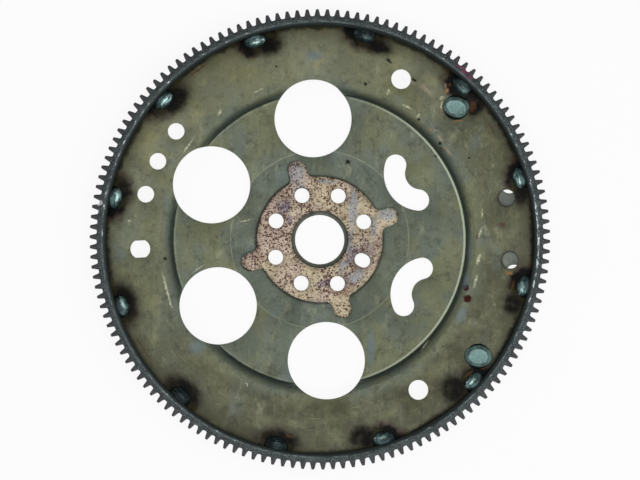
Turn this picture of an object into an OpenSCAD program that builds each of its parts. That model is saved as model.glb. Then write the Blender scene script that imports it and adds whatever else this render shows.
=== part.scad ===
// Flexplate of a small V6 engine, seen from the torque converter's side.
// The origin is the centre of the face that bolts to the crankshaft, with +Z to the converter.

/* [Disc] */
// Thickness of the steel sheet
sheet_t = 3; // [2.6:0.1:3.4]
// Radius of the pan's flat floor
pan_r = 96.5; // [95:0.5:98]
// Depth of the pan, from the rim's face to the floor
pan_depth = 8; // [7:0.1:9]
// Radius of the sharp corner round the pan's floor
pan_corner = 1; // [0.6:0.1:1.5]
// Radius of the seat that is coined flat for the hub plate
seat_r = 59.2; // [57:0.2:62]
// Depth of the coined seat
seat_step = 0.25; // [0.1:0.05:0.5]
// Diameter of the crankshaft pilot bore
bore_d = 32.8; // [28:0.1:36]

/* [Crank bolts] */
// Number of crank bolt holes
crank_bolt_count = 8; // [6:2:8]
// Diameter of the circle of crank bolts
crank_pcd = 63; // [61:0.5:66]
// Diameter of a crank bolt hole
crank_hole_d = 10; // [8:0.1:11]
// Angle by which the index hole is set off its place
index_shift = 2.9; // [0:0.1:4]
// Length of the oval index hole along the radius
index_hole_l = 10.7; // [10:0.1:12]
// Width of the oval index hole
index_hole_w = 8.9; // [8:0.1:9.8]

/* [Hub plate] */
// Thickness of the hub plate
hub_t = 2.5; // [1.5:0.1:4]
// Diameter of the hole in the middle of the hub plate
hub_hole_d = 37.8; // [37:0.1:42]
// Radius of the hub plate's round body
hub_r = 41.8; // [40:0.2:44]
// Radius that the four ears reach
ear_reach = 54.5; // [52:0.5:57]
// Width of an ear
ear_w = 12; // [10:0.2:14]
// Radius of the hollow corner between ear and body
ear_fillet = 4.6; // [2:0.2:6]
// Angle from the converter pattern to the first ear
ear_angle = 15; // [0:1:45]

/* [Converter bolts] */
// Angle by which the converter pattern is turned from the crank pattern
clock_angle = 3.7; // [-6:0.1:6]
// Diameter of the circle of converter bolts
converter_pcd = 238.4; // [236:0.2:241]
// Diameter of a converter bolt hole
converter_hole_d = 13.1; // [11:0.1:14]
// Distance between the flats of the third converter hole
flat_gap = 11.3; // [9:0.1:13]

/* [Openings] */
// Diameter of the circle on which all six openings lie
opening_pcd = 161; // [158:0.5:164]
// Diameter of a large round opening
opening_d = 51.3; // [44:0.1:53]
// Radius of the middle line of a bean-shaped opening
bean_r = 17.7; // [15:0.1:19]
// Width of a bean-shaped opening
bean_w = 14.2; // [10:0.1:15]
// Half of the angle that the middle line of a bean spans
bean_half = 51.5; // [40:0.5:60]
// Diameter of the small punched holes
small_hole_d = 11; // [9:0.1:12]
// Angle from the converter pattern to the middle one of the row of three
row_angle = 151.2; // [148:0.2:154]
// Angle between neighbours in the row of three
row_step = 11.2; // [10:0.1:12]

/* [Starter ring gear] */
// Number of teeth
tooth_count = 142; // [140:2:146]
// Teeth for each inch of pitch diameter
diametral_pitch = 12; // [11.7:0.05:12.1]
// Pressure angle of the teeth
pressure_angle = 14.5; // [14.5:0.5:18]
// Thickness of a tooth on the pitch circle
tooth_t = 2.8; // [2.5:0.05:3]
// Radius of the hollow corner at a tooth's foot
tooth_fillet = 0.9; // [0.5:0.1:1]
// Chamfer on the ends of the tooth tips
tooth_chamfer = 0.6; // [0.2:0.1:1]
// Width of the ring along its axis
ring_w = 9.5; // [8.5:0.1:11]
// Wall of the ring below the teeth
ring_wall = 6; // [5.4:0.1:6.4]
// Height of the ring's front above the rim of the disc
ring_proud = 4.5; // [3.5:0.1:5]
// Radius of the ring's inner front edge
ring_edge = 2.6; // [1.5:0.1:3]

/* [Balance weight] */
// Thickness of the weight
weight_t = 4.5; // [3:0.1:6]
// Width of the weight along the radius
weight_w = 22.5; // [21:0.1:25]
// Room between the weight and the ring gear
weight_room = 2.3; // [1:0.1:3]
// Half of the angle that the weight spans
weight_half = 47; // [46:0.5:48]
// Distance of the two gauge holes in the disc from the ring gear
gauge_inset = 14.7; // [13:0.1:17]
// Half of the angle between the gauge holes in the disc
gauge_half = 9.4; // [8:0.1:11]
// Distance of the two gauge holes in the weight from the ring gear
weight_hole_inset = 10.9; // [10:0.1:13]
// Half of the angle between the gauge holes in the weight
weight_hole_half = 12.9; // [12:0.1:14]

/* [Plug welds] */
// Diameter of a plug weld's hole in the disc
plug_d = 16.8; // [14:0.1:17]
// Diameter of the dome of a plug weld
dome_d = 14.4; // [10:0.1:15]
// Height of the dome above the groove round it
dome_h = 2.6; // [1.8:0.1:3]
// Depth of the groove below the face of the disc
groove_depth = 1.4; // [0.8:0.1:1.8]
// Distance of the upper plug weld from the ring gear
plug_upper_inset = 16; // [13.5:0.1:16.4]
// Angle from the upper end of the weight to the upper plug weld
plug_upper_turn = 6; // [5:0.1:9]
// Distance of the lower plug weld from the ring gear
plug_lower_inset = 11.4; // [11.2:0.1:16]
// Angle from the lower end of the weight to the lower plug weld
plug_lower_turn = 7.4; // [5:0.1:9]

/* [Ring welds] */
// Number of stitch welds round the ring
weld_count = 12; // [6:1:12]
// Angle from the converter pattern to the first stitch weld
weld_angle = 14.5; // [10:0.5:17]
// Length of a stitch weld along the ring
weld_l = 15.4; // [13:0.2:18]
// Distance that a stitch weld reaches in from the ring
weld_reach = 7.6; // [6.5:0.1:8.5]
// Distance of a stitch weld's middle line from the ring
weld_inset = 1.5; // [0.5:0.1:2]
// Height of a stitch weld above the rim of the disc
weld_h = 3.3; // [2:0.1:3.4]

/* [Clearances] */
// Gap between round faces that fit together
fit = 0.05; // [0.02:0.01:0.1]
// Extra length of a cutter past the faces that it cuts
over = 1; // [0.5:0.5:3]

/* [Hidden] */
// sides of a round in a preview, and of the large rounds at the ring
$fn = 96;
ring_sides = 360;

// heights of the disc's faces and of the ring's two sides
floor_face = sheet_t;
seat_face = sheet_t - seat_step;
rim_back = pan_depth;
rim_face = pan_depth + sheet_t;
ring_front = rim_face + ring_proud;
ring_back = ring_front - ring_w;

// the ring gear's circles, with full-depth teeth
inch = 25.4;
dedendum_share = 1.157;
module_mm = inch / diametral_pitch;
tooth_dedendum = dedendum_share * module_mm;
pitch_r = tooth_count * module_mm / 2;
base_r = pitch_r * cos(pressure_angle);
tip_r = pitch_r + module_mm;
root_r = pitch_r - tooth_dedendum;
ring_bore_r = root_r - ring_wall;
tooth_pitch = 360 / tooth_count;
flank_steps = 2;

// the disc's bends, which keep the sheet's thickness
bend_z = floor_face + pan_corner;
crown_r = pan_depth - pan_corner;
crown_x = pan_r + pan_depth;
rim_r = ring_bore_r - fit;

// the bolt circle's first hole lies half a step from the X axis, and so does the index hole
crank_step = 360 / crank_bolt_count;
index_angle = -crank_step / 2 - index_shift;

// angles on the opening circle and on the converter circle, counted from the weight's side
round_places = [90, 150, 210, 270];
bean_places = [30, -30];
bean_facing = 180;
converter_places = [60, -60];
flatted_place = 180;
ear_count = 4;

// the weight and what holds it keep their distances from the ring gear, and the plug welds
// keep theirs from the weight's ends
weight_out_r = ring_bore_r - weight_room;
weight_in_r = weight_out_r - weight_w;
weight_hole_r = ring_bore_r - weight_hole_inset;
gauge_r = ring_bore_r - gauge_inset;
plug_upper_r = ring_bore_r - plug_upper_inset;
plug_lower_r = ring_bore_r - plug_lower_inset;
plug_upper_angle = weight_half - plug_upper_turn;
plug_lower_angle = plug_lower_turn - weight_half;
plug_r = plug_d / 2 - fit;

// a stitch weld is three pools of metal in a row
side_pool_share = 0.9;
pool_r = weld_reach - weld_inset;
side_pool_r = side_pool_share * pool_r;
side_pool_x = weld_l / 2 - side_pool_r;

function weld_name(i) = str("ring_weld_", i < 10 ? "0" : "", i);
function degrees(radians) = radians * 180 / PI;
function polar(r, a) = [r * cos(a), r * sin(a)];

// angle of an involute, and half of a tooth's angle at a radius
function involute(a) = degrees(tan(a)) - a;
function half_tooth(r) =
    degrees(tooth_t / 2 / pitch_r) + involute(pressure_angle) - involute(acos(base_r / r));

// one tooth about the X axis: its two foot fillets and its two flanks
function foot_point(side, turn) =
    let (r = root_r + tooth_fillet)
    let (a = side * (half_tooth(r) + degrees(tooth_fillet / cos(pressure_angle) / r)))
    polar(r, a) - tooth_fillet * (cos(turn) * side * polar(1, a + 90) + sin(turn) * polar(1, a));
foot_turns = [90, (90 + pressure_angle) / 2, pressure_angle];
flank_low = norm(foot_point(1, pressure_angle));
flank_radii = [for (i = [1:flank_steps]) flank_low + (tip_r - flank_low) * i / flank_steps];
rising_side = concat(
    [for (turn = foot_turns) foot_point(-1, turn)],
    [for (r = flank_radii) polar(r, -half_tooth(r))]
);
falling_side = [for (i = [len(rising_side) - 1:-1:0]) [rising_side[i].x, -rising_side[i].y]];
tooth = concat(rising_side, falling_side);
function turned(p, a) = [p.x * cos(a) - p.y * sin(a), p.x * sin(a) + p.y * cos(a)];
gear_outline = [for (i = [0:tooth_count - 1]) for (p = tooth) turned(p, i * tooth_pitch)];

// places a child at a radius and an angle
module at(r, a) {
    rotate(a)
        translate([r, 0, 0])
            children();
}

// a straight cutter through the whole height of the disc
module drill(d) {
    translate([0, 0, -over])
        cylinder(d = d, h = rim_face + 2 * over);
}

// a cutter for an oval hole along the radius
module oval_drill(length, width) {
    straight = length - width;
    for (side = [-1, 1])
        translate([side * straight / 2, 0, 0])
            drill(width);
    translate([-straight / 2, -width / 2, -over])
        cube([straight, width, rim_face + 2 * over]);
}

// the bolt holes that the disc and the hub plate share, with the index hole last
module crank_holes() {
    for (i = [0:crank_bolt_count - 2])
        at(crank_pcd / 2, (i + 0.5) * crank_step)
            drill(crank_hole_d);
    at(crank_pcd / 2, index_angle)
        oval_drill(index_hole_l, index_hole_w);
}

// a quarter of the sheet's bend, between two radii
module bend(inner, outer) {
    intersection() {
        difference() {
            circle(outer);
            circle(inner);
        }
        square(outer + over);
    }
}

// half section of the pressed disc
module disc_section() {
    square([pan_r, seat_face]);
    translate([seat_r, 0])
        square([pan_r - seat_r, floor_face]);
    translate([pan_r, bend_z])
        mirror([0, 1])
            bend(pan_corner, pan_corner + sheet_t);
    translate([crown_x, bend_z])
        mirror([1, 0])
            bend(crown_r - sheet_t, crown_r);
    translate([crown_x, rim_back])
        square([rim_r - crown_x, sheet_t]);
}

// a bean: an arc of constant width with round ends, bowed towards the crank
module bean() {
    ends = [bean_facing - bean_half, bean_facing + bean_half];
    translate([0, 0, -over]) {
        rotate(ends[0])
            rotate_extrude(angle = 2 * bean_half)
                translate([bean_r - bean_w / 2, 0])
                    square([bean_w, rim_face + 2 * over]);
        for (a = ends)
            at(bean_r, a)
                cylinder(d = bean_w, h = rim_face + 2 * over);
    }
}

// the third converter hole, round with two flats along the radius
module flatted_hole() {
    intersection() {
        drill(converter_hole_d);
        translate([-converter_hole_d, -flat_gap / 2, -2 * over])
            cube([2 * converter_hole_d, flat_gap, rim_face + 4 * over]);
    }
}

module converter_holes() {
    for (a = converter_places)
        at(converter_pcd / 2, a)
            drill(converter_hole_d);
    at(converter_pcd / 2, flatted_place)
        flatted_hole();
}

module openings() {
    for (a = round_places)
        at(opening_pcd / 2, a)
            drill(opening_d);
    for (a = bean_places)
        at(opening_pcd / 2, a)
            bean();
}

module small_holes() {
    for (i = [-1:1])
        at(converter_pcd / 2, row_angle + i * row_step)
            drill(small_hole_d);
    for (side = [-1, 1])
        at(gauge_r, side * gauge_half)
            drill(small_hole_d);
}

module disc() {
    color([0.44, 0.45, 0.37])
        difference() {
            rotate_extrude($fn = ring_sides)
                disc_section();
            drill(bore_d);
            crank_holes();
            rotate(clock_angle) {
                converter_holes();
                openings();
                small_holes();
                at(plug_upper_r, plug_upper_angle)
                    drill(plug_d);
                at(plug_lower_r, plug_lower_angle)
                    drill(plug_d);
            }
        }
}

// the corner that the round inner front edge takes off the ring
module edge_corner_section() {
    difference() {
        translate([-over, -ring_edge])
            square([ring_edge + over, ring_edge + over]);
        translate([ring_edge, -ring_edge])
            circle(ring_edge);
    }
}

// half section of the ring, out past the teeth, with a chamfer at each end of the tips
module ring_section() {
    shoulder_r = tip_r - tooth_chamfer;
    brim_r = tip_r + over;
    brim_drop = tooth_chamfer + over;
    difference() {
        polygon([
            [ring_bore_r, ring_back],
            [shoulder_r, ring_back],
            [brim_r, ring_back + brim_drop],
            [brim_r, ring_front - brim_drop],
            [shoulder_r, ring_front],
            [ring_bore_r, ring_front]
        ]);
        translate([ring_bore_r, ring_front])
            edge_corner_section();
    }
}

module ring_gear() {
    color([0.22, 0.25, 0.26])
        intersection() {
            translate([0, 0, ring_back - over])
                linear_extrude(ring_w + 2 * over)
                    polygon(gear_outline);
            rotate_extrude($fn = ring_sides)
                ring_section();
        }
}

// one ear with its round end and its two hollow corners
module ear_outline() {
    half = ear_w / 2;
    foot = half + ear_fillet;
    foot_x = sqrt(pow(hub_r + ear_fillet, 2) - pow(foot, 2));
    translate([0, -half])
        square([ear_reach - half, ear_w]);
    translate([ear_reach - half, 0])
        circle(half);
    for (side = [0, 1])
        mirror([0, side])
            difference() {
                polygon([[0, 0], [foot_x, 0], [foot_x, foot]]);
                translate([foot_x, foot])
                    circle(ear_fillet);
            }
}

module hub_plate() {
    color([0.55, 0.46, 0.42])
        difference() {
            translate([0, 0, seat_face])
                linear_extrude(hub_t) {
                    circle(hub_r);
                    for (i = [1:ear_count])
                        rotate(clock_angle + ear_angle + i * 360 / ear_count)
                            ear_outline();
                }
            drill(hub_hole_d);
            crank_holes();
        }
}

module balance_weight() {
    color([0.40, 0.41, 0.38])
        rotate(clock_angle)
            difference() {
                translate([0, 0, rim_back - weight_t])
                    rotate(-weight_half)
                        rotate_extrude(angle = 2 * weight_half)
                            translate([weight_in_r, 0])
                                square([weight_w, weight_t]);
                for (side = [-1, 1])
                    at(weight_hole_r, side * weight_hole_half)
                        drill(small_hole_d);
            }
}

// half section of a plug weld: a filled hole with a domed middle
module plug_section() {
    groove = sheet_t - groove_depth;
    ball_r = (pow(dome_d / 2, 2) + pow(dome_h, 2)) / 2 / dome_h;
    square([plug_r, groove]);
    intersection() {
        translate([0, groove])
            square([dome_d / 2, dome_h]);
        translate([0, groove + dome_h - ball_r])
            circle(ball_r);
    }
}

module plug_weld(r, a) {
    color([0.33, 0.30, 0.24])
        rotate(clock_angle)
            at(r, a)
                translate([0, 0, rim_back])
                    rotate_extrude()
                        plug_section();
}

// half section of the corner between the rim's face and the ring
module corner_section() {
    difference() {
        translate([ring_bore_r - 2 * weld_reach, rim_face])
            square([2 * weld_reach + ring_edge, ring_proud]);
        translate([ring_bore_r, 0])
            square([ring_edge, ring_front - ring_edge]);
        translate([ring_bore_r + ring_edge, ring_front - ring_edge])
            circle(ring_edge);
    }
}

// one pool of weld metal, which rises to a height over a round foot
module pool(foot, height) {
    ball_r = (pow(foot, 2) + pow(height, 2)) / 2 / height;
    translate([0, 0, rim_face + height - ball_r])
        sphere(ball_r);
}

module ring_weld(i) {
    color([0.36, 0.42, 0.42])
        rotate(clock_angle + weld_angle + (i - 1) * 360 / weld_count)
            intersection() {
                translate([ring_bore_r - weld_inset, 0, 0]) {
                    pool(pool_r, weld_h);
                    for (side = [-1, 1])
                        translate([0, side * side_pool_x, 0])
                            pool(side_pool_r, side_pool_share * weld_h);
                }
                rotate_extrude($fn = ring_sides)
                    corner_section();
            }
}

disc();
ring_gear();
hub_plate();
balance_weight();
plug_weld(plug_upper_r, plug_upper_angle);  // plug_weld_upper
plug_weld(plug_lower_r, plug_lower_angle);  // plug_weld_lower
for (i = [1:weld_count])
    ring_weld(i);
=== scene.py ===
import math

import bmesh
import bpy
from mathutils import Matrix, Vector, noise


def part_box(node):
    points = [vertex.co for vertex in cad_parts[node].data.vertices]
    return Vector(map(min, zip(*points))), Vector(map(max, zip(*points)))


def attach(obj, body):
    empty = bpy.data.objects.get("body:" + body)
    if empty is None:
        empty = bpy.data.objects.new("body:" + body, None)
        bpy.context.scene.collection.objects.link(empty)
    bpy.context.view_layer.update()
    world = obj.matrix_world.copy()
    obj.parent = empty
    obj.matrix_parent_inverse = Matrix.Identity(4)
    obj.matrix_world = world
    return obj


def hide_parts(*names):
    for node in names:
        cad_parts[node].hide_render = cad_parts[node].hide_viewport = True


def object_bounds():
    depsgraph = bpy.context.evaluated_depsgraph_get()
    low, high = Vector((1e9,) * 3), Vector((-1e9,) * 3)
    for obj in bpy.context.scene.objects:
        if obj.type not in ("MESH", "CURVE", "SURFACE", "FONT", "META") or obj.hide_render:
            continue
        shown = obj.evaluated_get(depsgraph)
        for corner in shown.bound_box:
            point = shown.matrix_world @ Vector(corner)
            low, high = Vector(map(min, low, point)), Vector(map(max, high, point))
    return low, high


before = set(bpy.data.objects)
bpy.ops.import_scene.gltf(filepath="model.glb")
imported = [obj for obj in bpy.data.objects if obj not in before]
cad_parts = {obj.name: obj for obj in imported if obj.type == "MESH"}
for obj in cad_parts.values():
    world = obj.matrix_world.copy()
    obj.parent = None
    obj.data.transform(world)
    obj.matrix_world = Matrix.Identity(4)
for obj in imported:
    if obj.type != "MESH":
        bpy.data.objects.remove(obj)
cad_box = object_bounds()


# The disc is one sheet of steel, pressed into a shallow pan with a wide flat rim, then punched.
# A dull olive scale covers it. The welds have scorched it, the press has rubbed the pan's corner
# bright, and storage has left scratches, rust specks and stains.
# A highlight along the pan's corner and shade on its wall, its crown and in the corners are painted on.
MM = 0.001
PHOTO_SCALE = 0.6615
PHOTO_CENTRE = (319.7, 239.0)
PHOTO_ROLL = math.radians(0.55)

DISC_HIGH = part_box("disc")[1]
RIM_FACE = DISC_HIGH.z / MM
RIM_R = DISC_HIGH.x / MM
HUB_R = 41.8
HUB_HOLE_R = 18.9
SEAT_R = 59.2
PAN_R = 96.5
CROWN_R = 104.5
WELD_COUNT = 12
WELD_STEP = math.tau / WELD_COUNT
FIRST_WELD = math.radians(18.2)
WELD_SINK = 2.0
WELD_LAG = 0.6


def seen_at(pixel_x, pixel_y):
    """The place on the part, in millimetres, that a pixel of the photograph shows."""
    across = (pixel_x - PHOTO_CENTRE[0]) * PHOTO_SCALE
    up = (PHOTO_CENTRE[1] - pixel_y) * PHOTO_SCALE
    cosine, sine = math.cos(PHOTO_ROLL), math.sin(PHOTO_ROLL)
    return across * cosine - up * sine, across * sine + up * cosine


def tone(red, green, blue):
    """A colour as it looks, in parts of 255, turned into the shader's linear colour."""
    parts = [part / 255 for part in (red, green, blue)]
    return *[p / 12.92 if p < 0.04 else ((p + 0.055) / 1.055) ** 2.4 for p in parts], 1.0


class Finish:
    """A metal surface: one shader, and the nodes that colour it in millimetres of the part's frame."""

    def __init__(self, name, metallic):
        self.material = bpy.data.materials.new(name)
        self.material.use_nodes = True
        self.nodes = self.material.node_tree.nodes
        self.links = self.material.node_tree.links
        self.shader = self.nodes["Principled BSDF"]
        self.shader.inputs["Metallic"].default_value = metallic
        frame_place = self.nodes.new("ShaderNodeTexCoord").outputs["Object"]
        self.place = self.vector("SCALE", frame_place, scale=1 / MM)
        self.x, self.y, self.z = self.parted(self.place)
        across = self.math("MULTIPLY", self.y, self.y)
        self.radius = self.math("SQRT", self.math("MULTIPLY_ADD", self.x, self.x, across))
        self.angle = self.math("ARCTAN2", self.y, self.x)

    def set(self, socket, value):
        if isinstance(value, bpy.types.NodeSocket):
            self.links.new(value, socket)
        else:
            socket.default_value = value

    def look(self, **values):
        """Sets the shader's inputs by name."""
        for name, value in values.items():
            self.set(self.shader.inputs[name.replace("_", " ")], value)

    def math(self, operation, *values):
        node = self.nodes.new("ShaderNodeMath")
        node.operation = operation
        for socket, value in zip(node.inputs, values):
            self.set(socket, value)
        return node.outputs[0]

    def vector(self, operation, *values, scale=None):
        node = self.nodes.new("ShaderNodeVectorMath")
        node.operation = operation
        for socket, value in zip(node.inputs, values):
            self.set(socket, value)
        if scale is not None:
            self.set(node.inputs["Scale"], scale)
        return node.outputs["Value" if operation in ("LENGTH", "DISTANCE", "DOT_PRODUCT") else "Vector"]

    def parted(self, vector):
        node = self.nodes.new("ShaderNodeSeparateXYZ")
        self.set(node.inputs[0], vector)
        return node.outputs

    def point(self, x, y, z=0.0):
        node = self.nodes.new("ShaderNodeCombineXYZ")
        for socket, value in zip(node.inputs, (x, y, z)):
            self.set(socket, value)
        return node.outputs[0]

    def toward(self, degrees):
        """Distance from the middle of the part in a direction."""
        turn = math.radians(degrees)
        return self.vector("DOT_PRODUCT", self.place, (math.cos(turn), math.sin(turn), 0.0))

    def fade(self, value, start, end, low=0.0, high=1.0):
        """Low before start and high after end, with a soft change between them."""
        node = self.nodes.new("ShaderNodeMapRange")
        node.interpolation_type = "SMOOTHSTEP"
        for socket, number in zip(node.inputs, (value, start, end, low, high)):
            self.set(socket, number)
        return node.outputs[0]

    def both(self, *shares):
        product = shares[0]
        for share in shares[1:]:
            product = self.math("MULTIPLY", product, share)
        return product

    def either(self, *shares):
        largest = shares[0]
        for share in shares[1:]:
            largest = self.math("MAXIMUM", largest, share)
        return largest

    def band(self, value, middle, half, soft):
        """One within half of the middle, and nothing a soft distance further out."""
        away = self.math("ABSOLUTE", self.math("SUBTRACT", value, middle))
        return self.fade(away, half + soft, half)

    def drawn_out(self, turn, length, width, depth=1.0):
        """The place in lengths and widths of a patch that lies turned by some degrees."""
        node = self.nodes.new("ShaderNodeMapping")
        node.vector_type = "TEXTURE"
        self.set(node.inputs["Vector"], self.place)
        node.inputs["Rotation"].default_value = 0.0, 0.0, math.radians(turn)
        node.inputs["Scale"].default_value = length, width, depth
        return node.outputs[0]

    def noise(self, place, size, detail=3.0, roughness=0.5):
        """Cloudy noise about 0.5, with patches of about that size."""
        node = self.nodes.new("ShaderNodeTexNoise")
        self.set(node.inputs["Vector"], place)
        node.inputs["Scale"].default_value = 1 / size
        node.inputs["Detail"].default_value = detail
        node.inputs["Roughness"].default_value = roughness
        return node.outputs["Fac"]

    def ragged(self, size, reach):
        """The place pushed about by noise, so that the edges of spots come out ragged."""
        node = self.nodes.new("ShaderNodeTexNoise")
        self.set(node.inputs["Vector"], self.place)
        node.inputs["Scale"].default_value = 1 / size
        push = self.vector("SUBTRACT", node.outputs["Color"], (0.5, 0.5, 0.5))
        return self.vector("ADD", self.place, self.vector("SCALE", push, scale=reach))

    def mix(self, share, under, over):
        node = self.nodes.new("ShaderNodeMix")
        node.data_type = "RGBA"
        for index, value in ((0, share), (6, under), (7, over)):
            self.set(node.inputs[index], value)
        return node.outputs[2]

    def from_spot(self, place, middle, half_length, half_width, turn):
        """Distance from an oval that lies turned by some degrees: one at its edge, less inside it."""
        turn = math.radians(turn)
        along = Vector((math.cos(turn), math.sin(turn), 0.0)) / half_length
        across = Vector((-math.sin(turn), math.cos(turn), 0.0)) / half_width
        middle = Vector((*middle, 0.0))
        lengths = self.vector("DOT_PRODUCT", place, along)
        widths = self.vector("DOT_PRODUCT", place, across)
        spot_middle = along.dot(middle), across.dot(middle), 0.0
        return self.vector("DISTANCE", self.point(lengths, widths), spot_middle)

    def nearest(self, *distances):
        least = distances[0]
        for distance in distances[1:]:
            least = self.math("MINIMUM", least, distance)
        return least

    def marked(self, place, marks, soft):
        """The share of spots. Each has its pixel, half its length, half its width and its turn."""
        spots = [self.from_spot(place, seen_at(*pixel), *oval) for pixel, *oval in marks.values()]
        return self.fade(self.nearest(*spots), 1.0, 1.0 - soft)

    def daub(self, colour, place, marks, shade, soft, cover=1.0):
        """A colour with spots of one shade on it."""
        return self.mix(self.both(self.marked(place, marks, soft), cover), colour, shade)

    def from_weld(self, clockwise, inset, half_along, half_radial):
        """Distance from an oval beside every stitch weld: one at its edge, less inside it."""
        cosine = self.math("DIVIDE", self.x, self.radius)
        past = self.math("MULTIPLY_ADD", cosine, WELD_SINK / RIM_R, self.angle)
        past = self.math("SUBTRACT", past, FIRST_WELD + WELD_LAG / RIM_R)
        past = self.math("WRAP", past, WELD_STEP / 2, -WELD_STEP / 2)
        along = self.math("MULTIPLY_ADD", past, self.radius, clockwise)
        inward = self.math("SUBTRACT", self.radius, RIM_R - inset)
        lengths = self.math("DIVIDE", along, half_along)
        widths = self.math("DIVIDE", inward, half_radial)
        return self.vector("LENGTH", self.point(lengths, widths))

    def bump(self, height, depth, strength=1.0):
        """Relief of a depth in millimetres."""
        node = self.nodes.new("ShaderNodeBump")
        self.set(node.inputs["Height"], height)
        node.inputs["Distance"].default_value = depth * MM
        node.inputs["Strength"].default_value = strength
        self.set(self.shader.inputs["Normal"], node.outputs[0])


scale_olive = tone(107, 111, 81)
scale_grey = tone(94, 103, 89)
scale_slate = tone(88, 98, 87)
scale_brown = tone(82, 82, 52)
scale_pale = tone(140, 144, 115)
scale_yellow_and_light = tone(152, 146, 104)
umber_shade = tone(54, 50, 30)
scale_tan = tone(154, 138, 114)
scale_dark = tone(62, 66, 52)
seat_pale = tone(148, 152, 124)
corner_rub_and_highlight = tone(172, 182, 158)
wall_shade_tone = tone(48, 60, 58)
burn_black = tone(12, 12, 13)
burn_red = tone(52, 34, 26)
burn_brown = tone(60, 57, 36)
near_black_olive = tone(30, 32, 27)
scratch_pale = tone(202, 200, 168)
rust_orange = tone(146, 106, 62)
rust_brown = tone(76, 52, 32)
rust_maroon = tone(54, 20, 15)
soot_black = tone(28, 24, 20)
stain_blue = tone(98, 114, 118)

sheet = Finish("scaled_sheet_steel", metallic=0.3)
clouds = sheet.noise(sheet.place, 30.0, detail=4.0)
colour = sheet.mix(sheet.fade(clouds, 0.4, 0.62), scale_grey, scale_olive)
colour = sheet.mix(sheet.fade(sheet.radius, SEAT_R + 1, SEAT_R - 1, high=0.7), colour, scale_slate)

# the rim's upper right and lower side are painted browner and darker than its upper left
on_rim = sheet.fade(sheet.radius, CROWN_R - 2, CROWN_R + 10)
# partly a browner scale, partly painted shade away from the lit upper left
browner_shaded_rim = sheet.both(on_rim, sheet.fade(sheet.toward(130), 110, -60, 0.1, 0.75))
colour = sheet.mix(browner_shaded_rim, colour, scale_brown)

# mottled scale, with grain from the rolling mill up and down the sheet and press marks in rings
stains = sheet.noise(sheet.drawn_out(80, 26.0, 14.0), 1.0, detail=3.0)
colour = sheet.mix(sheet.fade(stains, 0.56, 0.74, high=0.35), colour, stain_blue)
blotches = sheet.noise(sheet.place, 6.0, detail=6.0, roughness=0.68)
colour = sheet.mix(sheet.fade(blotches, 0.5, 0.7, high=0.65), colour, scale_dark)
pale_blotches = sheet.noise(sheet.drawn_out(90, 13.0, 7.0), 1.0, detail=6.0, roughness=0.7)
colour = sheet.mix(sheet.fade(pale_blotches, 0.53, 0.72, high=0.6), colour, scale_pale)
rolling = sheet.noise(sheet.drawn_out(90, 45.0, 2.0), 1.0, detail=4.0, roughness=0.6)
colour = sheet.mix(sheet.fade(rolling, 0.52, 0.8, high=0.18), colour, scale_pale)
colour = sheet.mix(sheet.fade(rolling, 0.48, 0.2, high=0.18), colour, scale_dark)
round_place = sheet.point(sheet.radius, sheet.math("MULTIPLY", sheet.angle, 12.0))
ring_marks = sheet.noise(round_place, 1.3, detail=3.0)
ring_rubs = sheet.both(sheet.fade(ring_marks, 0.55, 0.8, high=0.4), on_rim)
colour = sheet.mix(ring_rubs, colour, scale_pale)
for scratch_turn, scratch_length in ((28, 15.0), (-55, 19.0), (74, 24.0)):
    scratches = sheet.noise(sheet.drawn_out(scratch_turn, scratch_length, 0.45), 1.0, detail=2.0)
    colour = sheet.mix(sheet.fade(scratches, 0.66, 0.76, high=0.5), colour, scale_pale)
specks = sheet.noise(sheet.place, 1.5, detail=2.0)
colour = sheet.mix(sheet.fade(specks, 0.62, 0.74, high=0.6), colour, scale_dark)
colour = sheet.mix(sheet.fade(specks, 0.36, 0.26, high=0.4), colour, scale_pale)
smudges = sheet.noise(sheet.place, 16.0, detail=5.0, roughness=0.6)
# painted light: the rim is painted lighter and yellower towards the upper left
lit_side = sheet.both(on_rim, sheet.fade(sheet.toward(115), 10, 140, 0.0, 0.24))
colour = sheet.mix(lit_side, colour, scale_yellow_and_light)
# painted shade: the rim is painted darker towards the lower right, in smudges
rim_shade_smudges = sheet.both(on_rim, sheet.fade(sheet.toward(290), -20, 120, 0.0, 0.7))
rim_shade_smudges = sheet.both(rim_shade_smudges, sheet.fade(smudges, 0.38, 0.66))
colour = sheet.mix(rim_shade_smudges, colour, umber_shade)
# yellow smudges all over the rim, painted stronger towards the lit upper left
yellow_smudges_and_light = sheet.both(on_rim, sheet.fade(smudges, 0.48, 0.34))
yellow_smudges_and_light = sheet.both(yellow_smudges_and_light, sheet.fade(sheet.toward(115), -80, 60, 0.08, 0.3))
colour = sheet.mix(yellow_smudges_and_light, colour, scale_yellow_and_light)

# painted shade in the corner round the hub plate and in its bore, the seat's fine pale edge, and the
# pan's rubbed corner with a painted highlight, under painted shade on its wall and crown
hub_corner_shade = sheet.both(sheet.fade(sheet.radius, HUB_R + 2.2, HUB_R + 0.3), 0.75)
hub_corner_shade = sheet.both(hub_corner_shade, sheet.fade(sheet.radius, HUB_HOLE_R - 1.4, HUB_HOLE_R - 0.2, 0.45, 1.0))
colour = sheet.mix(hub_corner_shade, colour, near_black_olive)
seat_line = sheet.band(sheet.radius, SEAT_R, 0.15, 0.35)
seat_line = sheet.both(seat_line, sheet.fade(ring_marks, 0.3, 0.6, 0.2, 0.7))
colour = sheet.mix(seat_line, colour, seat_pale)
# the pan's corner is rubbed bright and carries a painted highlight, strongest on the right
rubbed = sheet.band(sheet.radius, PAN_R - 0.2, 0.4, 0.6)
rubbed = sheet.both(rubbed, sheet.fade(sheet.toward(-4), 5, 85, 0.15, 0.95))
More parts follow.
